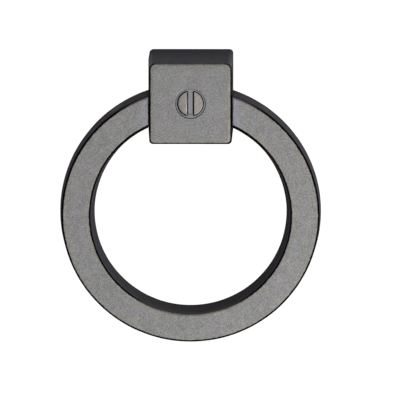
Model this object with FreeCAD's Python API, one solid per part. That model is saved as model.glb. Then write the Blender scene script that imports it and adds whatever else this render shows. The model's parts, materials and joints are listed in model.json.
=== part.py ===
import FreeCAD, Part
import math
import os

# Ring pull for a cabinet door or drawer: a cast ring that hangs on two pins
# from the sides of a square block, which one slotted wood screw holds to the furniture.
#
# Millimetres. X runs across the front, +Z is up, and +Y points into the furniture.
# The origin is on the screw's axis, in the plane of the block's back face.

# Block, measured at its front face; it is wider at its back by its draft on every side
block_width = 23.5
block_height = 23.5
block_depth = 20.0
block_draft = 0.4
block_corner_radius = 1.1
block_front_rounding = 0.55
block_back_rounding = 0.2

# Ring, measured at its front face
ring_outer_radius = 36.8
ring_face_width = 8.6
ring_thickness = 7.4
ring_outer_draft = 0.5
ring_inner_draft = 0.95
ring_outer_rounding = 0.65
ring_inner_rounding = 0.9
ring_end_rounding = 0.1
ring_setback = 0.3
ring_side_gap = 0.05

# Pivot pins
pin_diameter = 3.0
pin_running_clearance = 0.05
pin_depth_in_block = 6.0
pin_end_clearance = 0.4
pin_end_chamfer = 0.3

# Fixing screw
screw_length = 35.0
screw_head_diameter = 7.3
screw_head_rim = 0.25
screw_shank_diameter = 3.4
screw_thread_diameter = 4.0
screw_tip_length = 4.0
screw_tip_diameter = 0.6
slot_width = 1.4
slot_depth = 0.8
countersink_diameter = 8.7
countersink_half_angle = 45.0
screw_hole_clearance = 0.35

# How far a cutting shape runs past the surface that it opens
cut_margin = 1.0
# How near two positions must be to count as the same
same_place = 1e-6

X_AXIS = FreeCAD.Vector(1, 0, 0)
Y_AXIS = FreeCAD.Vector(0, 1, 0)

# Places that follow from the sizes above
front_y = -block_depth
ring_front_y = front_y + ring_setback
ring_back_y = ring_front_y + ring_thickness
ring_inner_radius = ring_outer_radius - ring_face_width
ring_middle_radius = (ring_outer_radius + ring_inner_radius) / 2
ring_centre_z = -ring_middle_radius
pivot_y = (ring_front_y + ring_back_y) / 2
# The furthest corner of the ring's ends from the pins, and how deep it swings beside the block
ring_end_reach = math.hypot(ring_thickness / 2, ring_face_width / 2 + ring_inner_draft)
ring_end_depth = pivot_y + ring_end_reach - front_y
ring_end_x = block_width / 2 + block_draft * ring_end_depth / block_depth + ring_side_gap
pivot_z = ring_centre_z + math.sqrt(ring_middle_radius ** 2 - ring_end_x ** 2)
cone_slope = math.tan(math.radians(countersink_half_angle))
seat_y = front_y + (countersink_diameter - screw_head_diameter) / 2 / cone_slope
head_top_y = seat_y - screw_head_rim
cone_end_y = seat_y + (screw_head_diameter - screw_shank_diameter) / 2 / cone_slope
screw_end_y = head_top_y + screw_length
screw_hole_radius = screw_thread_diameter / 2 + screw_hole_clearance


def point(x, y, z):
    return FreeCAD.Vector(x, y, z)


def cylinder_along_x(radius, x_from, x_to, y, z):
    return Part.makeCylinder(radius, x_to - x_from, point(x_from, y, z), X_AXIS)


def turned(profile, centre_z):
    """A solid turned about the axis along Y at this height; profile holds (radius, y) corners."""
    corners = [point(radius, y, centre_z) for radius, y in profile]
    face = Part.Face(Part.makePolygon(corners + corners[:1]))
    return face.revolve(point(0, 0, centre_z), Y_AXIS, 360)


def edges_in_plane(shape, y):
    """Edges whose every point lies in the plane at this y."""
    found = []
    for edge in shape.Edges:
        box = edge.BoundBox
        if abs(box.YMin - y) < same_place and abs(box.YMax - y) < same_place:
            found.append(edge)
    return found


def edges_across_x(shape, x):
    """Edges whose every point lies in the plane at this x."""
    found = []
    for edge in shape.Edges:
        box = edge.BoundBox
        if abs(box.XMin - x) < same_place and abs(box.XMax - x) < same_place:
            found.append(edge)
    return found


def edges_along_y(shape):
    """Straight edges that run from the front to the back."""
    return [edge for edge in shape.Edges if edge.BoundBox.YLength > block_depth / 2]


def tapered_block():
    """The block before its edges are rounded, smaller at its front."""
    half_width = block_width / 2
    half_height = block_height / 2
    back_half_width = half_width + block_draft
    back_half_height = half_height + block_draft
    return Part.makeWedge(
        -half_width, front_y, -half_height, -back_half_height, -back_half_width,
        half_width, 0, half_height, back_half_height, back_half_width,
    )


def pin_bore(side):
    """The blind hole in the block for one pin; side is -1 on the left and 1 on the right."""
    inner_end = block_width / 2 - pin_depth_in_block - pin_end_clearance
    ends = sorted((side * inner_end, side * (ring_end_x + cut_margin)))
    return cylinder_along_x(pin_diameter / 2 + pin_running_clearance, *ends, pivot_y, pivot_z)


def mounting_block():
    block = tapered_block()
    block = block.makeFillet(block_corner_radius, edges_along_y(block))
    block = block.makeFillet(block_front_rounding, edges_in_plane(block, front_y))
    block = block.makeFillet(block_back_rounding, edges_in_plane(block, 0))
    hole = Part.makeCylinder(screw_hole_radius, block_depth, point(0, front_y, 0), Y_AXIS)
    depth = countersink_diameter / 2 / cone_slope
    countersink = Part.makeCone(countersink_diameter / 2, 0, depth, point(0, front_y, 0), Y_AXIS)
    return block.cut([hole, countersink, pin_bore(-1), pin_bore(1)])


def whole_ring():
    """The ring as a full circle, wider at its back, with all four rims rounded."""
    back_outer = ring_outer_radius + ring_outer_draft
    back_inner = ring_inner_radius - ring_inner_draft
    profile = [
        (ring_inner_radius, ring_front_y),
        (ring_outer_radius, ring_front_y),
        (back_outer, ring_back_y),
        (back_inner, ring_back_y),
    ]
    ring = turned(profile, ring_centre_z)
    rims = edges_in_plane(ring, ring_front_y) + edges_in_plane(ring, ring_back_y)
    outer = [rim for rim in rims if rim.BoundBox.XMax > ring_middle_radius]
    inner = [rim for rim in rims if rim.BoundBox.XMax < ring_middle_radius]
    ring = ring.makeFillet(ring_outer_rounding, outer)
    return ring.makeFillet(ring_inner_rounding, inner)


def full_pin(side):
    """A pin that reaches from its seat in the block to beyond the ring's outer wall."""
    inner_end = block_width / 2 - pin_depth_in_block
    ends = sorted((side * inner_end, side * ring_outer_radius))
    return cylinder_along_x(pin_diameter / 2, *ends, pivot_y, pivot_z)


def open_ring():
    """The ring with a gap at its top that the block stands in."""
    height = ring_outer_radius + ring_outer_draft + cut_margin
    depth = ring_thickness + 2 * cut_margin
    corner = point(-ring_end_x, ring_front_y - cut_margin, ring_centre_z)
    ring = whole_ring().cut(Part.makeBox(2 * ring_end_x, depth, height, corner))
    end_edges = edges_across_x(ring, -ring_end_x) + edges_across_x(ring, ring_end_x)
    return ring.makeFillet(ring_end_rounding, end_edges)


def ring():
    return open_ring().cut([full_pin(-1), full_pin(1)])


def pivot_pin(side):
    """A pin driven in from outside and dressed flush with the ring's outer wall."""
    pin = full_pin(side)
    inner_end = side * (block_width / 2 - pin_depth_in_block)
    pin = pin.makeChamfer(pin_end_chamfer, edges_across_x(pin, inner_end))
    in_ring = pin.common(whole_ring())
    ends = sorted((side * ring_end_x, inner_end))
    in_block = pin.common(cylinder_along_x(pin_diameter, *ends, pivot_y, pivot_z))
    return in_block.fuse(in_ring).removeSplitter()


def fixing_screw():
    """A slotted countersunk wood screw; the thread is a plain rod of its outer diameter."""
    thread_end_y = screw_end_y - screw_tip_length
    profile = [
        (0, head_top_y),
        (screw_head_diameter / 2, head_top_y),
        (screw_head_diameter / 2, seat_y),
        (screw_shank_diameter / 2, cone_end_y),
        (screw_shank_diameter / 2, 0),
        (screw_thread_diameter / 2, 0),
        (screw_thread_diameter / 2, thread_end_y),
        (screw_tip_diameter / 2, screw_end_y),
        (0, screw_end_y),
    ]
    screw = turned(profile, 0)
    corner = point(-slot_width / 2, head_top_y - cut_margin, -screw_head_diameter)
    slot = Part.makeBox(slot_width, slot_depth + cut_margin, 2 * screw_head_diameter, corner)
    return screw.cut(slot)


PARTS = {
    "mounting_block": mounting_block(),
    "ring": ring(),
    "pivot_pin_left": pivot_pin(-1),
    "pivot_pin_right": pivot_pin(1),
    "fixing_screw": fixing_screw(),
}

os.makedirs("parts", exist_ok=True)
for name, shape in PARTS.items():
    shape.exportStep("parts/" + name + ".step")
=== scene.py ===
import json
import math

import bmesh
import bpy
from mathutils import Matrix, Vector, noise


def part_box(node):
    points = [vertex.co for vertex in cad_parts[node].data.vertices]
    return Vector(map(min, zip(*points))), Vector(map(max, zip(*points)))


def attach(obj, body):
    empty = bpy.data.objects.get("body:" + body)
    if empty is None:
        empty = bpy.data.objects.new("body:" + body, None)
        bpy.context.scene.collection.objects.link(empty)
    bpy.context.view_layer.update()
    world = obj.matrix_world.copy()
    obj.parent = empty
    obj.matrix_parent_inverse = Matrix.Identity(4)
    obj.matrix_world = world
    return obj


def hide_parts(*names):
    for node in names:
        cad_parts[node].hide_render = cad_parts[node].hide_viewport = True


# Ring pull handle: a square cast block with a slotted screw in its face, and a flat
# ring that swings on two pins at the block's sides. Metres, in the frame's own axes:
# X across the front, +Z up, +Y into the furniture.

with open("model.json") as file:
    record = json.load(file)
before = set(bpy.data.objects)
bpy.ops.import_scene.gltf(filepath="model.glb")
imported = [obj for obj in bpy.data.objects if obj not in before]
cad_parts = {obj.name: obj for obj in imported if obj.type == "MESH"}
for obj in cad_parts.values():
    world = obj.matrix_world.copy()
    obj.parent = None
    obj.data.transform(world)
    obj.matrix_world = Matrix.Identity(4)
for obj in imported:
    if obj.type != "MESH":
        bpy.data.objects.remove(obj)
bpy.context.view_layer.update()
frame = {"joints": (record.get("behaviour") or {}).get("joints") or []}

MM = 0.001

# Roundings and details that the boxes of the solids don't tell
BLOCK_DRAFT = 0.4 * MM
BLOCK_CORNER = 1.1 * MM
BLOCK_FRONT_ROUNDING = 0.55 * MM
BLOCK_BACK_ROUNDING = 0.2 * MM
RING_FACE_WIDTH = 8.6 * MM
RING_OUTER_DRAFT = 0.5 * MM
RING_INNER_DRAFT = 0.95 * MM
RING_OUTER_ROUNDING = 0.65 * MM
RING_INNER_ROUNDING = 0.9 * MM
RING_END_ROUNDING = 0.1 * MM
RING_SIDE_GAP = 0.05 * MM
PIN_BORE_CLEARANCE = 0.05 * MM
PIN_BORE_END_CLEARANCE = 0.4 * MM
PIN_CHAMFER = 0.3 * MM
PIN_DRESSED_EDGE = 0.05 * MM
COUNTERSINK_RADIUS = 4.35 * MM
COUNTERSINK_LIP = 0.05 * MM
COUNTERSINK_LIP_DEPTH = 0.02 * MM
SCREW_HOLE_RADIUS = 2.35 * MM
HEAD_RIM = 0.25 * MM
HEAD_EDGE_WIDTH = 0.38 * MM
HEAD_EDGE_HEIGHT = 0.22 * MM
SHANK_RADIUS = 1.7 * MM
THREAD_SHOULDER = 0.4 * MM
THREAD_RADIUS = 2.0 * MM
THREAD_ROOT_RADIUS = 1.4 * MM
THREAD_PITCH = 1.8 * MM
THREAD_RUN_IN = 1.0 * MM
TIP_LENGTH = 4.0 * MM
TIP_RADIUS = 0.02 * MM
SLOT_WIDTH = 1.4 * MM
SLOT_DEPTH = 0.8 * MM
SLOT_EDGE = 0.58 * MM

# Half the share of the pitch that the thread's ridge takes, and how much its crest is flattened
RIDGE_SHARE = 0.27
RIDGE_FLAT = 1.15

# How far the top of the block's left wall leans in at its back, and how tall and deep that is
CORNER_LEAN = 0.45 * MM
CORNER_LEAN_HEIGHT = 3.0 * MM
CORNER_LEAN_DEPTH = 14.0 * MM

# How uneven the cast surfaces are, as height and spread of each wave, and over what length the
# waves fade out towards the block's seats and the ring's ends
CAST_WAVES = ((0.035 * MM, 7.0 * MM), (0.012 * MM, 1.8 * MM))
BLOCK_CAST_FADE = 1.0 * MM
RING_CAST_FADE = 2.0 * MM

# How far a cutting shape runs past the surface that it opens
CUT_MARGIN = 1.0 * MM
# The smallest corner radius that the block's outline keeps where it is drawn in
SMALLEST_CORNER = 0.05 * MM
# Points nearer than this are merged, and places nearer than this count as the same
MERGE_DISTANCE = 0.0001 * MM
SAME_PLACE = 0.001 * MM

# In how many steps the surfaces are drawn; the ring's sides are its front, outside, back and inside
ROUND_STEPS = 96
BLOCK_CORNER_STEPS = 8
BLOCK_SIDE_STEPS = 44
BLOCK_BACK_STEPS = 14
BLOCK_BACK_ROUNDING_STEPS = 4
BLOCK_WALL_STEPS = 40
BLOCK_FRONT_ROUNDING_STEPS = 8
BLOCK_FACE_STEPS = 36
COUNTERSINK_STEPS = 8
SCREW_HOLE_STEPS = 12
RING_STEPS = 420
RING_ROUNDING_STEPS = 7
RING_SIDE_STEPS = (16, 14, 18, 14)
RING_END_STEPS = 3
HEAD_EDGE_STEPS = 4
SHANK_STEPS = 4
SLOT_EDGE_STEPS = 6
THREAD_STEP = 0.07 * MM

# Edges sharper than this many degrees stay sharp
CASTING_SHARP_ANGLE = 40
PIN_SHARP_ANGLE = 30
SCREW_SHARP_ANGLE = 35

# Places that follow from the solids
BLOCK_LOW, BLOCK_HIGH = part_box("mounting_block")
RING_LOW, RING_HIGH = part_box("ring")
PIN_LOW, PIN_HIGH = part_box("pivot_pin_right")
SCREW_LOW, SCREW_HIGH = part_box("fixing_screw")

BLOCK_FRONT = BLOCK_LOW.y
BLOCK_BACK = BLOCK_HIGH.y
BLOCK_DEPTH = BLOCK_BACK - BLOCK_FRONT
BLOCK_HALF = (BLOCK_HIGH.x - BLOCK_LOW.x) / 2 - BLOCK_DRAFT
RING_FRONT = RING_LOW.y
RING_BACK = RING_HIGH.y
RING_RADIUS = (RING_HIGH.x - RING_LOW.x) / 2 - RING_OUTER_DRAFT
RING_INNER_RADIUS = RING_RADIUS - RING_FACE_WIDTH
RING_CENTRE = RING_LOW.z + RING_RADIUS + RING_OUTER_DRAFT
PIN_RADIUS = (PIN_HIGH.y - PIN_LOW.y) / 2
PIN_Y = (PIN_HIGH.y + PIN_LOW.y) / 2
PIN_Z = frame["joints"][0]["pos_m"][2]
PIN_INNER_END = PIN_LOW.x
RING_END_HALF = RING_FACE_WIDTH / 2 + RING_INNER_DRAFT
RING_END_REACH = math.hypot((RING_BACK - RING_FRONT) / 2, RING_END_HALF)
RING_END_DEPTH = PIN_Y + RING_END_REACH - BLOCK_FRONT
RING_END = BLOCK_HALF + BLOCK_DRAFT * RING_END_DEPTH / BLOCK_DEPTH + RING_SIDE_GAP
HEAD_TOP = SCREW_LOW.y
HEAD_RADIUS = (SCREW_HIGH.x - SCREW_LOW.x) / 2
THREAD_START = BLOCK_BACK
THREAD_END = SCREW_HIGH.y


def limited(value):
    """The value, held between 0 and 1."""
    return min(1, max(0, value))


def quarter_turn(steps):
    """Even angles from 0 to 90 degrees, with both ends."""
    return [math.pi / 2 * k / steps for k in range(steps + 1)]


def full_turn():
    """Even angles round a full turn."""
    return [2 * math.pi * i / ROUND_STEPS for i in range(ROUND_STEPS)]


def tube_faces(rows, columns, closed):
    """Quads between neighbouring loops of points; closed joins the last loop to the first."""
    faces = []
    for i in range(rows if closed else rows - 1):
        here = i * columns
        following = (i + 1) % rows * columns
        for j in range(columns):
            k = (j + 1) % columns
            faces.append((here + j, here + k, following + k, following + j))
    return faces


def capped_faces(rows, columns):
    """The faces of an open tube and of a cap at each of its ends."""
    last = (rows - 1) * columns
    caps = [tuple(range(columns)), tuple(range(last, last + columns))]
    return tube_faces(rows, columns, False) + caps


def make_object(name, points, faces):
    mesh = bpy.data.meshes.new(name)
    mesh.from_pydata(points, [], faces)
    bm = bmesh.new()
    bm.from_mesh(mesh)
    bmesh.ops.remove_doubles(bm, verts=bm.verts, dist=MERGE_DISTANCE)
    bmesh.ops.recalc_face_normals(bm, faces=bm.faces)
    bm.to_mesh(mesh)
    bm.free()
    obj = bpy.data.objects.new(name, mesh)
    bpy.context.scene.collection.objects.link(obj)
    return obj


def cut(obj, cutter):
    """Cuts the second object out of the first, and deletes the second."""
    modifier = obj.modifiers.new("cut", "BOOLEAN")
    modifier.operation = "DIFFERENCE"
    modifier.solver = "EXACT"
    modifier.object = cutter
    evaluated = obj.evaluated_get(bpy.context.evaluated_depsgraph_get())
    mesh = bpy.data.meshes.new_from_object(evaluated)
    obj.modifiers.clear()
    obj.data = mesh
    bpy.data.objects.remove(cutter)


def shade(obj, degrees):
    """Smooth shading that breaks at edges sharper than this."""
    for polygon in obj.data.polygons:
        polygon.use_smooth = True
    obj.data.set_sharp_from_angle(angle=math.radians(degrees))


def cast_height(p):
    """How far the cast surface stands proud of its nominal place at p."""
    return sum(height * noise.noise(p / spread) for height, spread in CAST_WAVES)


def roughen(obj, weight):
    """Moves the points of a cast surface along their normals; weight(p) scales the move."""
    bm = bmesh.new()
    bm.from_mesh(obj.data)
    bm.normal_update()
    moves = [(v, v.normal * cast_height(v.co) * weight(v.co)) for v in bm.verts]
    for v, move in moves:
        v.co += move
    bm.to_mesh(obj.data)
    bm.free()


def circle_along_x(radius, x, y, z):
    """A circle about an axis that runs along X."""
    return [Vector((x, y + radius * math.cos(a), z + radius * math.sin(a))) for a in full_turn()]


def pin_cutter(name, radius, x_from, x_to):
    """A plain rod on the pins' axis."""
    points = circle_along_x(radius, x_from, PIN_Y, PIN_Z) + circle_along_x(radius, x_to, PIN_Y, PIN_Z)
    return make_object(name, points, capped_faces(2, ROUND_STEPS))


# Block


def square_loop(inset, y):
    """The block's rounded square outline at this y, drawn in by inset."""
    half = BLOCK_HALF + BLOCK_DRAFT * (y - BLOCK_FRONT) / BLOCK_DEPTH - inset
    corner = max(BLOCK_CORNER - inset, SMALLEST_CORNER)
    middle = half - corner
    quarter = []
    for a in quarter_turn(BLOCK_CORNER_STEPS)[:-1]:
        quarter.append((middle + corner * math.cos(a), middle + corner * math.sin(a)))
    for k in range(BLOCK_SIDE_STEPS):
        quarter.append((middle - 2 * middle * k / BLOCK_SIDE_STEPS, half))
    loop = []
    for _ in range(4):
        loop += [Vector((x, y, z)) for x, z in quarter]
        quarter = [(-z, x) for x, z in quarter]
    return loop


def circle_loop(radius, y):
    """A circle about the screw's axis, with its points in line with the square's."""
    loop = []
    for p in square_loop(0, BLOCK_FRONT):
        out = Vector((p.x, 0, p.z)).normalized() * radius
        loop.append(Vector((out.x, y, out.z)))
    return loop


def between(first, last, steps):
    """The loops between two loops, without either of them."""
    return [[a.lerp(b, k / steps) for a, b in zip(first, last)] for k in range(1, steps)]


def back_rows():
    """Loops from the screw's hole out over the block's flat back and round its edge."""
    hole = circle_loop(SCREW_HOLE_RADIUS, BLOCK_BACK)
    edge = square_loop(BLOCK_BACK_ROUNDING, BLOCK_BACK)
    rows = [hole] + between(hole, edge, BLOCK_BACK_STEPS) + [edge]
    for a in quarter_turn(BLOCK_BACK_ROUNDING_STEPS)[1:]:
        inset = BLOCK_BACK_ROUNDING * (1 - math.sin(a))
        rows.append(square_loop(inset, BLOCK_BACK - BLOCK_BACK_ROUNDING * (1 - math.cos(a))))
    return rows


def front_rows():
    """Loops from the front end of the block's walls over its face and down the countersink."""
    rows = [square_loop(0, BLOCK_FRONT + BLOCK_FRONT_ROUNDING)]
    for a in quarter_turn(BLOCK_FRONT_ROUNDING_STEPS)[1:]:
        inset = BLOCK_FRONT_ROUNDING * (1 - math.cos(a))
        rows.append(square_loop(inset, BLOCK_FRONT + BLOCK_FRONT_ROUNDING * (1 - math.sin(a))))
    lip = circle_loop(COUNTERSINK_RADIUS + COUNTERSINK_LIP, BLOCK_FRONT)
    rows += between(rows[-1], lip, BLOCK_FACE_STEPS) + [lip]
    cone = circle_loop(COUNTERSINK_RADIUS, BLOCK_FRONT + COUNTERSINK_LIP_DEPTH)
    cone_end = circle_loop(SCREW_HOLE_RADIUS, BLOCK_FRONT + COUNTERSINK_RADIUS - SCREW_HOLE_RADIUS)
    return rows + [cone] + between(cone, cone_end, COUNTERSINK_STEPS) + [cone_end]


def block_rows():
    """Loops over the block's back, its walls, its face and down its hole, back to the first."""
    back = back_rows()
    front = front_rows()
    walls = between(back[-1], front[0], BLOCK_WALL_STEPS)
    hole = between(front[-1], back[0], SCREW_HOLE_STEPS)
    return back + walls + front + hole


def on_cast_block(p):
    """1 on the block's outside, fading to 0 at its flat back and at the screw's hole."""
    from_hole = math.hypot(p.x, p.z) - COUNTERSINK_RADIUS
    from_back = BLOCK_BACK - p.y
    return limited(from_hole / BLOCK_CAST_FADE) * limited(from_back / BLOCK_CAST_FADE)


def leaned(p):
    """p with the lean of the back's upper left corner, which fades out to the right and below."""
    to_back = limited(1 - (BLOCK_BACK - p.y) / CORNER_LEAN_DEPTH)
    to_top = limited(1 - (BLOCK_HIGH.z - p.z) / CORNER_LEAN_HEIGHT)
    to_left = limited(p.x / BLOCK_LOW.x)
    return Vector((p.x + CORNER_LEAN * to_back * to_top * to_left, p.y, p.z))


def build_block():
    rows = block_rows()
    points = [leaned(p) for row in rows for p in row]
    block = make_object("block_casting", points, tube_faces(len(rows), len(rows[0]), True))
    roughen(block, on_cast_block)
    radius = PIN_RADIUS + PIN_BORE_CLEARANCE
    inner = PIN_INNER_END - PIN_BORE_END_CLEARANCE
    outer = RING_END + CUT_MARGIN
    cut(block, pin_cutter("bore_right", radius, inner, outer))
    cut(block, pin_cutter("bore_left", radius, -outer, -inner))
    shade(block, CASTING_SHARP_ANGLE)
    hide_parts("mounting_block")
    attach(block, "block")
    return block


# Ring


def rounded_corner(before, corner, after, radius):
    """The arc that rounds a corner between its two neighbours."""
    to_before = (before - corner).normalized()
    to_after = (after - corner).normalized()
    half = to_before.angle(to_after) / 2
    centre = corner + (to_before + to_after).normalized() * (radius / math.sin(half))
    reach = radius / math.tan(half)
    start = (corner + to_before * reach - centre).normalized()
    end = (corner + to_after * reach - centre).normalized()
    steps = RING_ROUNDING_STEPS
    return [centre + start.slerp(end, k / steps) * radius for k in range(steps + 1)]


def ring_section():
    """The ring's section as points of (radius, y, 0): a drafted bar with rounded rims."""
    corners = [
        Vector((RING_INNER_RADIUS, RING_FRONT, 0)),
        Vector((RING_RADIUS, RING_FRONT, 0)),
        Vector((RING_RADIUS + RING_OUTER_DRAFT, RING_BACK, 0)),
        Vector((RING_INNER_RADIUS - RING_INNER_DRAFT, RING_BACK, 0)),
    ]
    radii = [RING_INNER_ROUNDING, RING_OUTER_ROUNDING, RING_OUTER_ROUNDING, RING_INNER_ROUNDING]
    neighbours = zip(corners[-1:] + corners[:-1], corners, corners[1:] + corners[:1], radii)
    arcs = [rounded_corner(*places) for places in neighbours]
    section = []
    for arc, following, steps in zip(arcs, arcs[1:] + arcs[:1], RING_SIDE_STEPS):
        section += arc
        section += [arc[-1].lerp(following[0], k / steps) for k in range(1, steps)]
    return section


def ring_point(radius, y, share):
    """A point of the ring at this share of the way round, from one cut end to the other."""
    first = math.asin(RING_END / radius)
    turn = first + (2 * math.pi - 2 * first) * share
    return Vector((radius * math.sin(turn), y, RING_CENTRE + radius * math.cos(turn)))


def on_cast_ring(p):
    """1 on the ring, fading to 0 at its two ends, which stand close to the block."""
    if p.z < RING_CENTRE:
        return 1
    return limited((abs(p.x) - RING_END) / RING_CAST_FADE)


def is_at_end(edge):
    """Whether an edge lies in the flat of one of the ring's two ends."""
    return all(
        abs(abs(v.co.x) - RING_END) < SAME_PLACE and v.co.z > RING_CENTRE
        for v in edge.verts
    )


def round_ends(ring):
    bm = bmesh.new()
    bm.from_mesh(ring.data)
    ends = [edge for edge in bm.edges if is_at_end(edge)]
    bmesh.ops.bevel(
        bm, geom=ends, offset=RING_END_ROUNDING, segments=RING_END_STEPS, profile=0.5, affect="EDGES"
    )
    bm.to_mesh(ring.data)
    bm.free()


def build_ring():
    section = ring_section()
    points = []
    for i in range(RING_STEPS + 1):
        points += [ring_point(p.x, p.y, i / RING_STEPS) for p in section]
    ring = make_object("ring_casting", points, capped_faces(RING_STEPS + 1, len(section)))
    roughen(ring, on_cast_ring)
    round_ends(ring)
    inner = RING_END - CUT_MARGIN
    cut(ring, pin_cutter("pin_hole_right", PIN_RADIUS, inner, RING_RADIUS))
    cut(ring, pin_cutter("pin_hole_left", PIN_RADIUS, -RING_RADIUS, -inner))
    shade(ring, CASTING_SHARP_ANGLE)
    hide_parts("ring")
    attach(ring, "ring")
    return ring


# Pins


def ring_wall_x(y, z):
    """How far out the ring's outer wall stands at this y and z."""
    share = (y - RING_FRONT) / (RING_BACK - RING_FRONT)
    radius = RING_RADIUS + RING_OUTER_DRAFT * share
    return math.sqrt(radius ** 2 - (z - RING_CENTRE) ** 2)


def pin_loop(radius, x):
    """A circle of the pin at this x."""
    return circle_along_x(radius, x, PIN_Y, PIN_Z)


def dressed_loop(radius, depth):
    """A circle of the pin at this depth under the ring's outer wall."""
    return [Vector((ring_wall_x(p.y, p.z) - depth, p.y, p.z)) for p in pin_loop(radius, 0)]


def build_pin(side, name):
    cap_middle = 0.5 * PIN_RADIUS
    loops = [
        pin_loop(cap_middle, PIN_INNER_END),
        pin_loop(PIN_RADIUS - PIN_CHAMFER, PIN_INNER_END),
        pin_loop(PIN_RADIUS, PIN_INNER_END + PIN_CHAMFER),
        pin_loop(PIN_RADIUS, RING_END),
        dressed_loop(PIN_RADIUS, PIN_DRESSED_EDGE),
        dressed_loop(PIN_RADIUS - PIN_DRESSED_EDGE, 0),
        dressed_loop(cap_middle, 0),
    ]
    points = [Vector((side * p.x, p.y, p.z)) for loop in loops for p in loop]
    pin = make_object("hinge_pin_" + name, points, capped_faces(len(loops), ROUND_STEPS))
    shade(pin, PIN_SHARP_ANGLE)
    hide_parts("pivot_pin_" + name)
    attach(pin, "ring")
    return pin


# Screw


def thread_radius(y, turn):
    """The thread's surface: a sharp ridge that winds along the rod and into the tip."""
    taper = limited((THREAD_END - y) / TIP_LENGTH)
    phase = ((y - THREAD_START) / THREAD_PITCH - turn / (2 * math.pi)) % 1
    ridge = limited((1 - abs(phase - 0.5) / RIDGE_SHARE) * RIDGE_FLAT)
    run_in = limited((y - THREAD_START) / THREAD_RUN_IN)
    height = (THREAD_RADIUS - THREAD_ROOT_RADIUS) * ridge * run_in
    return max(TIP_RADIUS, (THREAD_ROOT_RADIUS + height) * taper)


def screw_profile():
    """The head and the shank as (radius, y), from the head's top to the block's back."""
    seat = HEAD_TOP + HEAD_RIM
    cone_end = seat + HEAD_RADIUS - SHANK_RADIUS
    profile = [(HEAD_RADIUS * share, HEAD_TOP) for share in (0.25, 0.5, 0.75)]
    for a in quarter_turn(HEAD_EDGE_STEPS):
        radius = HEAD_RADIUS - HEAD_EDGE_WIDTH * (1 - math.sin(a))
        profile.append((radius, HEAD_TOP + HEAD_EDGE_HEIGHT * (1 - math.cos(a))))
    profile += [(HEAD_RADIUS, seat), (SHANK_RADIUS, cone_end)]
    length = THREAD_START - cone_end
    profile += [(SHANK_RADIUS, cone_end + length * k / SHANK_STEPS) for k in range(1, SHANK_STEPS)]
    return profile + [(SHANK_RADIUS, THREAD_START - THREAD_SHOULDER), (THREAD_ROOT_RADIUS, THREAD_START)]


def screw_loops():
    """Circles from the head's top to the point, each as its radii round the turn and its y."""
    loops = [([radius] * ROUND_STEPS, y) for radius, y in screw_profile()]
    length = THREAD_END - THREAD_START
    steps = int(length / THREAD_STEP)
    for k in range(1, steps + 1):
        y = THREAD_START + length * k / steps
        loops.append(([thread_radius(y, turn) for turn in full_turn()], y))
    return loops


def slot_cutter():
    """A long bar that flares at its top, so that the slot it cuts has rounded edges."""
    half = SLOT_WIDTH / 2
    right = [(half, HEAD_TOP + SLOT_DEPTH)]
    for a in quarter_turn(SLOT_EDGE_STEPS):
        x = half + SLOT_EDGE * (1 - math.cos(a))
        right.append((x, HEAD_TOP + SLOT_EDGE * (1 - math.sin(a))))
    right.append((half + SLOT_EDGE, HEAD_TOP - CUT_MARGIN))
    outline = right + [(-x, y) for x, y in reversed(right)]
    reach = HEAD_RADIUS + CUT_MARGIN
    points = [Vector((x, y, z)) for z in (-reach, reach) for x, y in outline]
    return make_object("slot", points, capped_faces(2, len(outline)))


def build_screw():
    loops = screw_loops()
    points = []
    for radii, y in loops:
        for radius, a in zip(radii, full_turn()):
            points.append(Vector((radius * math.cos(a), y, radius * math.sin(a))))
    screw = make_object("slotted_screw", points, capped_faces(len(loops), ROUND_STEPS))
    cut(screw, slot_cutter())
    shade(screw, SCREW_SHARP_ANGLE)
    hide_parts("fixing_screw")
    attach(screw, "block")
    return screw


# Materials


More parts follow.
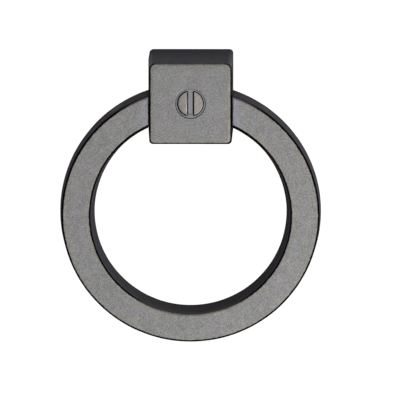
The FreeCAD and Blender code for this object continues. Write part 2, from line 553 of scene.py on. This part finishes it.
class Nodes:
    """Short calls for a material's node tree."""

    def __init__(self, name):
        self.material = bpy.data.materials.new(name)
        self.material.use_nodes = True
        self.tree = self.material.node_tree
        self.tree.nodes.clear()

    def add(self, kind, **inputs):
        node = self.tree.nodes.new(kind)
        for key, value in inputs.items():
            self.feed(node.inputs[key.replace("_", " ")], value)
        return node

    def feed(self, socket, value):
        if isinstance(value, bpy.types.NodeSocket):
            self.tree.links.new(value, socket)
        else:
            socket.default_value = value

    def math(self, operation, a, b=0.0):
        node = self.tree.nodes.new("ShaderNodeMath")
        node.operation = operation
        self.feed(node.inputs[0], a)
        self.feed(node.inputs[1], b)
        return node.outputs[0]

    def product(self, first, *others):
        total = first
        for value in others:
            total = self.math("MULTIPLY", total, value)
        return total

    def opposite(self, share):
        """0 where the share is 1, and 1 where it is 0."""
        return self.math("SUBTRACT", 1.0, share)

    def step(self, value, low, high):
        """0 below low, 1 above high, smooth between; the other way round if low is above high."""
        node = self.tree.nodes.new("ShaderNodeMapRange")
        node.interpolation_type = "SMOOTHSTEP"
        self.feed(node.inputs["Value"], value)
        down = low > high
        node.inputs["From Min"].default_value = high if down else low
        node.inputs["From Max"].default_value = low if down else high
        node.inputs["To Min"].default_value = 1.0 if down else 0.0
        node.inputs["To Max"].default_value = 0.0 if down else 1.0
        return node.outputs["Result"]

    def weigh(self, base, *parts):
        """base plus each value times its weight."""
        total = base
        for value, weight in parts:
            total = self.math("ADD", total, self.math("MULTIPLY", value, weight))
        return total

    def blend(self, share, a, b):
        """The number a where share is 0 and b where it is 1."""
        kept = self.math("MULTIPLY", a, self.opposite(share))
        return self.math("ADD", kept, self.math("MULTIPLY", b, share))

    def length(self, a, b):
        squares = self.math("ADD", self.math("MULTIPLY", a, a), self.math("MULTIPLY", b, b))
        return self.math("SQRT", squares)

    def mix(self, share, a, b, kind="MIX"):
        """The colour a where share is 0 and b where it is 1."""
        node = self.tree.nodes.new("ShaderNodeMix")
        node.data_type = "RGBA"
        node.blend_type = kind
        self.feed(node.inputs[0], share)
        self.feed(node.inputs[6], a)
        self.feed(node.inputs[7], b)
        return node.outputs[2]

    def lit(self, colour, level):
        """The colour times this level."""
        grey = self.tree.nodes.new("ShaderNodeCombineColor")
        for socket in grey.inputs:
            self.feed(socket, level)
        return self.mix(1.0, colour, grey.outputs[0], "MULTIPLY")

    def noise(self, place, scale, detail=2.0, roughness=0.5):
        node = self.add("ShaderNodeTexNoise", Vector=place, Scale=scale, Detail=detail)
        node.inputs["Roughness"].default_value = roughness
        return node.outputs["Fac"]

    def patches(self, place, scale, detail, low, high):
        """Patches of 1 on a ground of 0, where a noise rises from low to high."""
        return self.step(self.noise(place, scale, detail), low, high)

    def surface(self):
        """Where a point of the object's surface is, and which way the surface faces there."""
        outputs = self.tree.nodes.new("ShaderNodeTexCoord").outputs
        return outputs["Object"], outputs["Normal"]

    def split(self, vector):
        node = self.tree.nodes.new("ShaderNodeSeparateXYZ")
        self.feed(node.inputs[0], vector)
        return node.outputs

    def bump(self, height, strength, distance):
        node = self.add("ShaderNodeBump", Height=height, Strength=strength, Distance=distance)
        return node.outputs[0]

    def metal(self, colour, metallic, roughness, specular):
        """The metal's shader."""
        metal = self.add("ShaderNodeBsdfPrincipled", Base_Color=colour)
        self.feed(metal.inputs["Metallic"], metallic)
        self.feed(metal.inputs["Roughness"], roughness)
        metal.inputs["Specular IOR Level"].default_value = specular
        return metal

    def finish(self, shader):
        output = self.tree.nodes.new("ShaderNodeOutputMaterial")
        self.tree.links.new(shader.outputs[0], output.inputs["Surface"])
        return self.material


def linear(red, green, blue):
    """A colour given as 0 to 255 screen levels, as the shader wants it."""
    def channel(level):
        v = level / 255
        return v / 12.92 if v <= 0.04045 else ((v + 0.055) / 1.055) ** 2.4
    return (channel(red), channel(green), channel(blue), 1.0)


RUBBED_OLIVE = linear(132, 133, 130)
RUBBED_MAUVE = linear(135, 132, 133)
RUBBED_BLUE = linear(133, 133, 135)
# A painted reflection: the cooler, lighter colour of the ring's face near its ends
RUBBED_COOL_REFLECTION = linear(142, 141, 148)
RUBBED_RIM = linear(138, 134, 125)
WORN_EDGE = linear(172, 165, 152)
PATINA = linear(67, 66, 71)
PATINA_BROWN = linear(68, 66, 69)
# Black: patina and dark joints, and painted shade along the faces' borders and in the screw's edges
BLACK_PATINA_AND_SHADE = linear(8, 8, 8)
# Patina lit by painted light from above, where a border faces up
PATINA_LIT_UPPER_EDGE = linear(48, 45, 38)
HEAD_LAND = linear(130, 128, 122)
HEAD_LAND_WARM = linear(149, 144, 139)
HEAD_RECESS = linear(147, 145, 151)
SEAT_METAL = linear(148, 148, 150)
# Painted light on the head's edges that face right, towards the light
EDGE_LIT = linear(32, 31, 31)

# Where the left side of the part gives way to the right one, or the lower half to the upper
ACROSS_MIDDLE = (-1.0 * MM, 1.0 * MM)

# The grain of the castings: scale, detail and roughness of each noise
COARSE_GRAIN = (420, 2, 0.5)
MEDIUM_GRAIN = (1500, 3, 0.65)
FINE_GRAIN = (3100, 2, 0.6)
GRAIN_BUMP = (0.4, 0.06 * MM)

# Patches on the castings: scale and detail of the noise, and the levels that they start between
MAUVE_PATCHES = (170, 2, 0.38, 0.62)
BLUE_PATCHES = (520, 2, 0.45, 0.65)
WORN_PATCHES = (380, 2, 0.48, 0.68)
BROWN_PATCHES = (220, 3, 0.4, 0.7)
BLOTCHES = (500, 3)

# How a rubbed face starts, by the distance inside its border and by how squarely the surface
# faces forward or back: at once with a black line outside, or slowly where the border faces up.
# The black line is partly patina and partly painted shade, and the slow start where the border
# faces up is painted light from above
CRISP_START = (-0.19 * MM, 0.03 * MM)
CRISP_FACING = (0.80, 0.92)
SOFT_START = (-0.60 * MM, 0.45 * MM)
SOFT_FACING = (0.15, 0.60)
LINE_FACING = (0.15, 0.50)
# How far the border is ragged, and the scale and detail of that
RAGGED = 0.30 * MM
RAGGED_NOISE = (1100, 3)
# How wide the worn edge is inside the border, and how bright
WORN_WIDTH = (0.70 * MM, 0.25 * MM)
WORN_BRIGHT = 0.35

# How metallic the rubbed faces are, and how rough the patina and the rubbed faces are
RUBBED_METALLIC = 0.4
PATINA_ROUGHNESS = 0.68
RUBBED_ROUGHNESS = 0.52


def grain(n, place):
    """A sand-cast grain in three sizes: (how light the surface is, how high it is)."""
    coarse = n.noise(place, *COARSE_GRAIN)
    medium = n.noise(place, *MEDIUM_GRAIN)
    fine = n.noise(place, *FINE_GRAIN)
    level = n.weigh(-0.525, (coarse, 0.30), (medium, 0.85), (fine, 1.90))
    height = n.weigh(0.0, (medium, 1.0), (fine, 0.45))
    return level, height


def rubbed_metal(n, place, level, here):
    """The colour of the rubbed faces."""
    colour = n.mix(n.patches(place, *MAUVE_PATCHES), RUBBED_OLIVE, RUBBED_MAUVE)
    colour = n.mix(n.patches(place, *BLUE_PATCHES), colour, RUBBED_BLUE)
    colour = n.mix(here["cool_reflection"], colour, RUBBED_COOL_REFLECTION)
    colour = n.mix(here["rim"], colour, RUBBED_RIM)
    # The worn edge; on the block's right side it is raised by painted highlight
    worn = n.product(n.step(here["inside"], *WORN_WIDTH), n.patches(place, *WORN_PATCHES))
    colour = n.mix(n.product(worn, here["wear_and_light"], WORN_BRIGHT), colour, WORN_EDGE)
    return n.lit(colour, n.product(level, here["face light"]))


def patina(n, place, level, here):
    """The colour of the patina, which is a little lighter near the front."""
    colour = n.mix(n.patches(place, *BROWN_PATCHES), PATINA, PATINA_BROWN)
    near_front = n.step(n.split(place)[1], BLOCK_BACK, BLOCK_FRONT)
    blotches = n.noise(place, *BLOTCHES)
    level = n.weigh(-0.075, (level, 0.65), (blotches, 0.35), (near_front, 0.45))
    return n.lit(colour, n.product(level, here["patina light"]))


def cast_metal(name, describe):
    """Cast metal, rubbed grey on its front and back and dark with patina on its walls.

    describe(nodes, place) says of a place:
    "inside": how far inside the border of the rubbed face it is;
    "upper": how much that stretch of the border faces up;
    "line": how much of the black line along the border it has, which is partly painted shade;
    "rim" and "wear_and_light": how much of the warm rim and of the worn edge it has; where they are
    stronger on the block's right side, that is painted highlight;
    "cool_reflection": how much of the painted reflection, a cooler colour, the rubbed metal has;
    "face light" and "patina light": how light the rubbed metal and the patina are, with the painted
    shade and painted highlights that they carry.
    """
    n = Nodes(name)
    place, normal = n.surface()
    facing = n.math("ABSOLUTE", n.split(normal)[1])
    here = describe(n, place)
    upper = here["upper"]
    ragged = n.weigh(-RAGGED / 2, (n.noise(place, *RAGGED_NOISE), RAGGED))
    inside = n.math("ADD", here["inside"], ragged)

    crisp = n.product(n.step(inside, *CRISP_START), n.step(facing, *CRISP_FACING))
    soft = n.product(n.step(inside, *SOFT_START), n.step(facing, *SOFT_FACING))
    rubbed = n.blend(upper, crisp, soft)
    line = n.product(n.step(facing, *LINE_FACING), n.opposite(rubbed), here["line"])

    level, height = grain(n, place)
    # Painted light and shade at the border: black where it faces sideways or down, lit patina where it
    # faces up
    line_colour = n.mix(upper, BLACK_PATINA_AND_SHADE, PATINA_LIT_UPPER_EDGE)
    wall_colour = n.mix(line, patina(n, place, level, here), line_colour)
    colour = n.mix(rubbed, wall_colour, rubbed_metal(n, place, level, here))
    roughness = n.weigh(PATINA_ROUGHNESS, (rubbed, RUBBED_ROUGHNESS - PATINA_ROUGHNESS))
    metal = n.metal(colour, n.product(rubbed, RUBBED_METALLIC), roughness, 0.0)
    n.feed(metal.inputs["Normal"], n.bump(height, *GRAIN_BUMP))
    return n.finish(metal)


# How wide the black line is at the top of the block's rubbed face, and on the inside of the
# ring's, and over what width it ends
FACE_LINE_WIDTH = 0.45 * MM
INNER_LINE_WIDTH = 0.55 * MM
LINE_FADE = 0.1 * MM


def line_within(n, inside, width):
    """1 up to this width outside the border, and 0 further out."""
    return n.step(inside, -width - LINE_FADE, -width)


# How round the corners of the block's rubbed face are, and where the two radii meet
FACE_UPPER_CORNER = 1.35 * MM
FACE_LOWER_CORNER = 0.95 * MM
CORNERS_MEET = (-0.3 * MM, 0.3 * MM)
# How far above the face's diagonals a place belongs to its upper border
ABOVE_DIAGONAL = (0.5 * MM, 2.5 * MM)

# How far the painted shade in the crevice between the block and the ring's ends reaches behind
# the pins, and the share of that within which it is full
PIN_SHADE_RADIUS = 4.2 * MM
PIN_SHADE_FULL = 0.75
WALL_START = (0.0, 0.5 * MM)

# Zones along the block's edges, as the distances from the edge where they start and are full; the
# painted shade zones darken the face along its left and top, and the right wall below its top
TOP_ZONE = (4.5 * MM, 2.0 * MM)
PAINTED_SHADE_TOP = (3.0 * MM, 0.8 * MM)
PAINTED_SHADE_LEFT = (1.8 * MM, 0.6 * MM)
PAINTED_SHADE_RIGHT = (0.3 * MM, 0.0)

# How much lighter the painted highlight makes the block's upper left and upper right long corners,
# and how deep behind its face that starts and is full
LEFT_CORNER_LIGHT = 0.65
RIGHT_CORNER_LIGHT = 0.30
CORNER_LIGHT_DEPTH = (22.0 * MM, 8.0 * MM)

# How strongly the worn edge and warm rim show at the block's left and its right, and over which
# stretch that changes; the stronger right side is painted highlight
LEFT_WEAR_AND_LIGHT = 0.6
RIGHT_WEAR_AND_LIGHT = 1.3
WEAR_AND_LIGHT_CHANGE = (-2.0 * MM, 11.0 * MM)
# How wide and how warm the rim of the block's rubbed face is
BLOCK_RIM_WIDTH = (1.6 * MM, 0.1 * MM)
BLOCK_RIM_WARMTH = 0.5


def block_inside(n, x, z):
    """How far a place is inside the rubbed face, and how far out it is beyond its straight side."""
    round_by = n.blend(n.step(z, *CORNERS_MEET), FACE_LOWER_CORNER, FACE_UPPER_CORNER)
    straight = n.math("SUBTRACT", BLOCK_HALF - BLOCK_FRONT_ROUNDING, round_by)
    beyond_x = n.math("SUBTRACT", n.math("ABSOLUTE", x), straight)
    beyond_z = n.math("SUBTRACT", n.math("ABSOLUTE", z), straight)
    corner = n.length(n.math("MAXIMUM", beyond_x, 0.0), n.math("MAXIMUM", beyond_z, 0.0))
    edge = n.math("MINIMUM", n.math("MAXIMUM", beyond_x, beyond_z), 0.0)
    return n.math("SUBTRACT", round_by, n.math("ADD", corner, edge)), beyond_x


def pin_crevice_shade(n, y, z, beyond_x):
    """Painted shade on the block's side walls round the pins and behind them, in the crevice by the
    ring's ends.
    """
    behind = n.math("MAXIMUM", n.math("SUBTRACT", y, PIN_Y), 0.0)
    above = n.math("MULTIPLY", n.math("SUBTRACT", z, PIN_Z), PIN_SHADE_RADIUS / RING_END_HALF)
    crevice_shade = n.step(n.length(behind, above), PIN_SHADE_RADIUS, PIN_SHADE_FULL * PIN_SHADE_RADIUS)
    return n.product(crevice_shade, n.step(beyond_x, *WALL_START))


def painted_corner_highlight(n, x, y, z):
    """The painted highlight on the block's two upper long corners, which fades towards the back."""
    from_middle = n.math("MINIMUM", n.math("ABSOLUTE", x), z)
    on_corner = n.step(from_middle, BLOCK_HALF - BLOCK_CORNER, BLOCK_HALF - BLOCK_CORNER / 2)
    to_front = n.step(n.math("SUBTRACT", y, BLOCK_FRONT), *CORNER_LIGHT_DEPTH)
    strength = n.blend(n.step(x, *ACROSS_MIDDLE), LEFT_CORNER_LIGHT, RIGHT_CORNER_LIGHT)
    return n.product(on_corner, to_front, strength)


def block_border(n, place):
    """The border of the block's rubbed face: a square whose upper corners are rounder."""
    x, y, z = n.split(place)
    inside, beyond_x = block_inside(n, x, z)
    from_top = n.math("SUBTRACT", BLOCK_HALF, z)
    from_left = n.math("ADD", BLOCK_HALF, x)
    from_right = n.math("SUBTRACT", BLOCK_HALF, x)
    near_top = n.step(from_top, *TOP_ZONE)
    # Painted shade: the face darker at its left and top, and the right wall darker below its top
    painted_shade_top = n.step(from_top, *PAINTED_SHADE_TOP)
    painted_shade_left = n.step(from_left, *PAINTED_SHADE_LEFT)
    painted_shade_right = n.product(n.step(from_right, *PAINTED_SHADE_RIGHT), n.opposite(near_top))
    crevice_shade = pin_crevice_shade(n, y, z, beyond_x)
    corner_highlight = painted_corner_highlight(n, x, y, z)
    # Painted highlight: the worn edge and warm rim show more strongly towards the right, where light
    # falls
    wear_and_light = n.blend(n.step(x, *WEAR_AND_LIGHT_CHANGE), LEFT_WEAR_AND_LIGHT, RIGHT_WEAR_AND_LIGHT)
    return {
        "inside": inside,
        "upper": n.step(n.math("SUBTRACT", z, n.math("ABSOLUTE", x)), *ABOVE_DIAGONAL),
        "line": n.blend(near_top, 1.0, line_within(n, inside, FACE_LINE_WIDTH)),
        "rim": n.product(n.step(inside, *BLOCK_RIM_WIDTH), wear_and_light, BLOCK_RIM_WARMTH),
        "wear_and_light": wear_and_light,
        "cool_reflection": 0.0,
        # Painted shade on the face at its left and top; on the walls, painted shade by the pins and on
        # the right, and a painted highlight on the upper long corners
        "face light": n.weigh(1.0, (painted_shade_left, -0.15), (painted_shade_top, -0.08)),
        "patina light": n.weigh(1.0, (crevice_shade, -0.85), (painted_shade_right, -0.25), (corner_highlight, 1.0)),
    }


# How far the painted reflection, a cooler colour, on the ring's face reaches from its ends, and how
# strong it is at the left one and at the right one
RING_REFLECTION_LENGTH = 4.5 * MM
LEFT_REFLECTION = 0.75
RIGHT_REFLECTION = 1.0
# How wide, how warm and how worn the rims of the ring's rubbed face are, away from its ends
RING_RIM_WIDTH = (2.8 * MM, 0.0)
RING_RIM_WARMTH = 0.33
RING_WEAR = 0.4
# How wide the darker strip inside the ring's borders is
DARKER_RIM_WIDTH = (1.5 * MM, 0.0)
# How light the patina is on the ring's inner wall, its outer wall and its flat ends; the darker
# inner wall and the nearly black ends, which face the block, are painted shade
INNER_WALL_LIGHT = 0.62
OUTER_WALL_LIGHT = 0.90
RING_END_LIGHT = 0.15
RING_END_START = (0.1 * MM, 0.0)
# How far up the ring its top starts, as the cosine of the angle from straight up, where the
# border ends softly and where the black line is at its full width
SOFT_COSINE = (0.80, 0.96)
WHOLE_LINE_COSINE = (0.55, 0.80)


def ring_border(n, place):
    """The nearer border of the ring's rubbed face; its upper edges are outer at the top only."""
    x, _, z = n.split(place)
    up = n.math("SUBTRACT", z, RING_CENTRE)
    radius = n.length(x, up)
    cosine = n.math("DIVIDE", up, radius)
    outer = n.math("SUBTRACT", RING_RADIUS - RING_OUTER_ROUNDING, radius)
    inner = n.math("SUBTRACT", radius, RING_INNER_RADIUS + RING_INNER_ROUNDING)
    from_end = n.math("SUBTRACT", n.math("ABSOLUTE", x), RING_END + RING_END_ROUNDING)
    from_end = n.blend(n.step(up, *ACROSS_MIDDLE), 1.0, from_end)
    inside = n.math("MINIMUM", n.math("MINIMUM", outer, inner), from_end)
    outer_side = n.math("SIGN", n.math("SUBTRACT", inner, outer))
    is_outer = n.step(outer_side, -0.5, 0.5)
    # Painted reflection near the ring's ends, which also takes away the warm rim and the worn edge there
    cool_reflection = n.step(from_end, RING_REFLECTION_LENGTH, 0.0)
    cool_reflection = n.product(cool_reflection, n.blend(n.step(x, *ACROSS_MIDDLE), LEFT_REFLECTION, RIGHT_REFLECTION))
    whole_line = n.math("MAXIMUM", is_outer, n.step(cosine, *WHOLE_LINE_COSINE))
    # Painted shade: the inner wall's patina darker than the outer's, and the ring's flat ends nearly
    # black
    wall_light = n.blend(is_outer, INNER_WALL_LIGHT, OUTER_WALL_LIGHT)
    return {
        "inside": inside,
        "upper": n.step(n.product(cosine, outer_side), *SOFT_COSINE),
        "line": n.blend(whole_line, line_within(n, inside, INNER_LINE_WIDTH), 1.0),
        "rim": n.product(n.step(inside, *RING_RIM_WIDTH), n.blend(cool_reflection, RING_RIM_WARMTH, 0.0)),
        "wear_and_light": n.blend(cool_reflection, RING_WEAR, 0.0),
        "cool_reflection": cool_reflection,
        "face light": n.weigh(1.0, (n.step(inside, *DARKER_RIM_WIDTH), -0.03)),
        "patina light": n.blend(n.step(from_end, *RING_END_START), wall_light, RING_END_LIGHT),
    }


# The scratches on the screw's head rise to the right, and are this much longer than wide
SCRATCH_ANGLE = math.radians(42)
SCRATCH_STRETCH = 5.0
SCRATCH_NOISE = (1900, 3, 0.6)
SCRATCH_BUMP = (0.3, 0.03 * MM)
SPECKLE_NOISE = (3000, 2)
# Over which stretch the head's lands turn warmer, from the left
LAND_CHANGE = (-3.4 * MM, 0.0)
# The shares of the slot's depth between which its colour starts
SLOT_START = (0.4, 0.6)
# How far from the slot's walls its floor is darker, and how wide the black line of painted shade
# along them is
FLOOR_MIDDLE = (0.35 * MM, 0.60 * MM)
FLOOR_LINE = (0.11 * MM, 0.04 * MM)
# How squarely an edge of the head faces forward where its black starts and is full, on the side
# that faces left and on the side that faces right, and where the one gives way to the other. The
# black is painted shade, wider where the edge faces left, away from the light
LEFT_EDGE_FACING = (0.978, 0.935)
RIGHT_EDGE_FACING = (0.95, 0.84)
FACES_RIGHT = (-0.2, 0.2)
# How far behind the head's top the black of its edges fades into the bare screw
BARE_DEPTH = (1.5 * MM, 1.0 * MM)
HEAD_METALLIC = 0.6


def brushed(n, place):
    """Fine scratches that rise to the right across a surface: how light it is there."""
    turned = n.add("ShaderNodeMapping", Vector=place, Rotation=(0.0, -SCRATCH_ANGLE, 0.0))
    turned.vector_type = "TEXTURE"
    turned.inputs["Scale"].default_value = (SCRATCH_STRETCH, 1.0, 1.0)
    return n.noise(turned.outputs[0], *SCRATCH_NOISE)


def slot_colour(n, x):
    """The slot's floor, a little darker along its middle and black with painted shade along its walls.
    """
    from_wall = n.math("SUBTRACT", SLOT_WIDTH / 2, n.math("ABSOLUTE", x))
    level = n.weigh(1.04, (n.step(from_wall, *FLOOR_MIDDLE), -0.13))
    return n.mix(n.step(from_wall, *FLOOR_LINE), n.lit(HEAD_RECESS, level), BLACK_PATINA_AND_SHADE)


def head_metal():
    """The screw: brushed lands, a smooth bluish slot, and black painted shade in the edges between them,
    lit where they face right.
    """
    n = Nodes("screw_metal")
    place, normal = n.surface()
    x, y, _ = n.split(place)
    normal_x, normal_y, _ = n.split(normal)
    facing = n.math("ABSOLUTE", normal_y)
    depth = n.math("SUBTRACT", y, HEAD_TOP)
    in_head = n.step(depth, *BARE_DEPTH)
    scratch = brushed(n, place)
    level = n.weigh(0.42, (scratch, 0.95), (n.noise(place, *SPECKLE_NOISE), 0.2))
    land = n.lit(n.mix(n.step(x, *LAND_CHANGE), HEAD_LAND, HEAD_LAND_WARM), level)
    in_slot = n.product(n.step(n.math("DIVIDE", depth, SLOT_DEPTH), *SLOT_START), in_head)
    # Painted light and shade: the head's edges are black where they face left, lighter and thinner where
    # they face right
    to_right = n.step(normal_x, *FACES_RIGHT)
    edge = n.blend(to_right, n.step(facing, *LEFT_EDGE_FACING), n.step(facing, *RIGHT_EDGE_FACING))
    edge = n.product(edge, in_head)
    colour = n.mix(in_slot, land, slot_colour(n, x))
    colour = n.mix(edge, colour, n.mix(to_right, BLACK_PATINA_AND_SHADE, EDGE_LIT))
    metal = n.metal(colour, n.weigh(HEAD_METALLIC, (edge, -HEAD_METALLIC)), 0.42, 0.05)
    n.feed(metal.inputs["Normal"], n.bump(scratch, *SCRATCH_BUMP))
    return n.finish(metal)


SEAT_NOISE = (1800, 3, 0.6)
# Over which stretch the seat turns lighter, from the left
SEAT_CHANGE = (-2.5 * MM, 2.5 * MM)
# How far outside the head the black line round it starts and is full
HEAD_LINE = (0.22 * MM, 0.12 * MM)
# How far inside the countersink's lip its black line starts and is full, and where it is weaker
LIP_LINE = (-0.27 * MM, -0.12 * MM)
LIP_CHANGE = (2.0 * MM, -3.0 * MM)
# How strong the stain on the seat's left side is, and over which stretch it grows
STAIN = 0.55
STAIN_CHANGE = (0.0, -3.5 * MM)
SEAT_METALLIC = 0.5


def countersink_metal():
    """The turned seat round the screw's head, dark at its lip and where the head meets it."""
    n = Nodes("countersink_metal")
    place, _ = n.surface()
    x, _, z = n.split(place)
    radius = n.length(x, z)
    to_right = n.step(x, *SEAT_CHANGE)
    level = n.weigh(0.90, (n.noise(place, *SEAT_NOISE), 0.3), (to_right, 0.35))
    in_slot = n.step(n.math("ABSOLUTE", x), SLOT_WIDTH / 2 + SLOT_EDGE, SLOT_WIDTH / 2)
    head_line = n.step(n.math("SUBTRACT", radius, HEAD_RADIUS), *HEAD_LINE)
    head_line = n.product(head_line, n.opposite(in_slot))
    lip_line = n.step(n.math("SUBTRACT", radius, COUNTERSINK_RADIUS), *LIP_LINE)
    lip_line = n.product(lip_line, n.weigh(0.84, (n.step(z, *LIP_CHANGE), 0.16)))
    stain = n.product(n.step(x, *STAIN_CHANGE), STAIN)
    dark = n.math("MAXIMUM", n.math("MAXIMUM", head_line, stain), lip_line)
    colour = n.mix(dark, n.lit(SEAT_METAL, level), BLACK_PATINA_AND_SHADE)
    return n.finish(n.metal(colour, n.weigh(SEAT_METALLIC, (dark, -SEAT_METALLIC)), 0.5, 0.05))


# The fine lines of drawn rod are this many times longer than wide
ROD_STRETCH = 10.0
ROD_NOISE = (4000, 2)
ROD_BUMP = (0.2, 0.02 * MM)
# How far inside the pin's edge the dark joint round it starts and is full, and how dark it is
JOINT = (-0.14 * MM, -0.07 * MM)
JOINT_DARK = 0.6


def pin_metal():
    """Drawn rod under the castings' patina: fine lines along the pin, and a dark joint round it."""
    n = Nodes("pin_metal")
    place, _ = n.surface()
    along = n.add("ShaderNodeMapping", Vector=place, Scale=(1 / ROD_STRETCH, 1.0, 1.0))
    lines = n.noise(along.outputs[0], *ROD_NOISE)
    colour = n.lit(PATINA_BROWN, n.weigh(0.45, (lines, 0.8)))
    _, y, z = n.split(place)
    radius = n.length(n.math("SUBTRACT", y, PIN_Y), n.math("SUBTRACT", z, PIN_Z))
    joint = n.step(n.math("SUBTRACT", radius, PIN_RADIUS), *JOINT)
    colour = n.mix(n.product(joint, JOINT_DARK), colour, BLACK_PATINA_AND_SHADE)
    metal = n.metal(colour, 0.0, 0.6, 0.02)
    n.feed(metal.inputs["Normal"], n.bump(lines, *ROD_BUMP))
    return n.finish(metal)


def paint(obj, materials, choose=lambda centre: 0):
    """Gives an object its materials, and each face the one that choose(centre) picks."""
    for material in materials:
        obj.data.materials.append(material)
    for polygon in obj.data.polygons:
        polygon.material_index = choose(polygon.center)


def in_screw_hole(centre):
    """1 inside the countersink and the screw's hole, short of the block's back, and 0 elsewhere."""
    near_axis = math.hypot(centre.x, centre.z) < COUNTERSINK_RADIUS
    return int(near_axis and BLOCK_FRONT < centre.y < BLOCK_BACK - MM)


# Surroundings

CAMERA_AZIMUTH = 0.27
CAMERA_ELEVATION = 11.5
CAMERA_RANGE = 20.0
FOCAL_PIXELS = 9000
PIXELS_PER_METRE = 3524
PHOTO_SIZE = 400
SENSOR_WIDTH = 36.0
# Where the middle of the block's face lands in the photograph, in pixels from its left and top
BLOCK_CENTRE_PIXEL = (190.45, 103.8)

FLOOR_DROP = 0.30
FLOOR_HALF = 6.0
FLOOR_GLOW = 0.60
FLOOR_COLOUR = (0.8, 0.8, 0.8, 1.0)
WORLD_STRENGTH = 0.56

# Each lamp's place, its size in metres and its power in watts
NEAR_LAMP = (Vector((0.163, -0.232, -0.168)), 0.16, 0.40)
FAR_LAMP = (Vector((1.6, -0.6, 0.35)), 0.9, 13)


def add_camera():
    data = bpy.data.cameras.new("camera")
    data.sensor_width = SENSOR_WIDTH
    data.lens = FOCAL_PIXELS / PHOTO_SIZE * SENSOR_WIDTH
    data.clip_end = CAMERA_RANGE
    camera = bpy.data.objects.new("camera", data)
    bpy.context.scene.collection.objects.link(camera)
    azimuth = math.radians(CAMERA_AZIMUTH)
    elevation = math.radians(CAMERA_ELEVATION)
    back = Vector((
        math.sin(azimuth) * math.cos(elevation),
        -math.cos(azimuth) * math.cos(elevation),
        math.sin(elevation),
    ))
    turn = (-back).to_track_quat("-Z", "Y")
    right = turn @ Vector((1, 0, 0))
    up = turn @ Vector((0, 1, 0))
    across = (PHOTO_SIZE / 2 - BLOCK_CENTRE_PIXEL[0]) / PIXELS_PER_METRE
    down = (BLOCK_CENTRE_PIXEL[1] - PHOTO_SIZE / 2) / PIXELS_PER_METRE
    target = Vector((0, BLOCK_FRONT, 0)) + right * across + up * down
    camera.rotation_mode = "QUATERNION"
    camera.rotation_quaternion = turn
    camera.location = target + back * (FOCAL_PIXELS / PIXELS_PER_METRE)
    bpy.context.scene.camera = camera


def seen_directly(tree):
    """1 for rays that show the surroundings themselves: camera, glossy and transmission rays."""
    path = tree.nodes.new("ShaderNodeLightPath")
    total = path.outputs["Is Camera Ray"]
    for name in ("Is Glossy Ray", "Is Transmission Ray"):
        node = tree.nodes.new("ShaderNodeMath")
        node.operation = "ADD"
        node.use_clamp = True
        tree.links.new(total, node.inputs[0])
        tree.links.new(path.outputs[name], node.inputs[1])
        total = node.outputs[0]
    return total


def add_world():
    """White all round, which lights the part less strongly than it shows."""
    world = bpy.data.worlds.new("studio")
    bpy.context.scene.world = world
    world.use_nodes = True
    tree = world.node_tree
    background = tree.nodes["Background"]
    background.inputs["Color"].default_value = (1.0, 1.0, 1.0, 1.0)
    level = tree.nodes.new("ShaderNodeMapRange")
    level.inputs["To Min"].default_value = WORLD_STRENGTH
    level.inputs["To Max"].default_value = 1.0
    tree.links.new(seen_directly(tree), level.inputs["Value"])
    tree.links.new(level.outputs["Result"], background.inputs["Strength"])


def floor_material():
    """Pale grey that glows where it is seen directly, and is clear from below."""
    n = Nodes("pale_floor")
    diffuse = n.add("ShaderNodeBsdfDiffuse", Color=FLOOR_COLOUR)
    glow = n.add("ShaderNodeEmission", Strength=n.product(seen_directly(n.tree), FLOOR_GLOW))
    lit = n.tree.nodes.new("ShaderNodeAddShader")
    n.tree.links.new(diffuse.outputs[0], lit.inputs[0])
    n.tree.links.new(glow.outputs[0], lit.inputs[1])
    clear = n.add("ShaderNodeBsdfTransparent")
    under = n.tree.nodes.new("ShaderNodeNewGeometry").outputs["Backfacing"]
    shader = n.tree.nodes.new("ShaderNodeMixShader")
    n.tree.links.new(under, shader.inputs[0])
    n.tree.links.new(lit.outputs[0], shader.inputs[1])
    n.tree.links.new(clear.outputs[0], shader.inputs[2])
    return n.finish(shader)


def add_floor():
    half = FLOOR_HALF
    z = RING_LOW.z - FLOOR_DROP
    corners = [(-half, -half, z), (half, -half, z), (half, half, z), (-half, half, z)]
    floor = make_object("floor", [Vector(c) for c in corners], [(0, 1, 2, 3)])
    floor.data.materials.append(floor_material())


def add_lamp(name, place, size, watts):
    """A round lamp that points at the middle of the ring."""
    data = bpy.data.lights.new(name, "AREA")
    data.shape = "DISK"
    data.size = size
    data.energy = watts
    lamp = bpy.data.objects.new(name, data)
    bpy.context.scene.collection.objects.link(lamp)
    lamp.location = place
    centre = Vector((0, RING_FRONT, RING_CENTRE))
    lamp.rotation_mode = "QUATERNION"
    lamp.rotation_quaternion = (centre - lamp.location).to_track_quat("-Z", "Y")
    lamp.visible_camera = False


block = build_block()
ring = build_ring()
pins = [build_pin(1, "right"), build_pin(-1, "left")]
screw = build_screw()

block_paints = [cast_metal("block_cast_metal", block_border), countersink_metal()]
paint(block, block_paints, in_screw_hole)
paint(ring, [cast_metal("ring_cast_metal", ring_border)])
rod = pin_metal()
for pin in pins:
    paint(pin, [rod])
paint(screw, [head_metal()])

add_camera()
add_world()
add_floor()
add_lamp("near_lamp", *NEAR_LAMP)
add_lamp("far_lamp", *FAR_LAMP)
bpy.context.scene.view_settings.view_transform = "Standard"
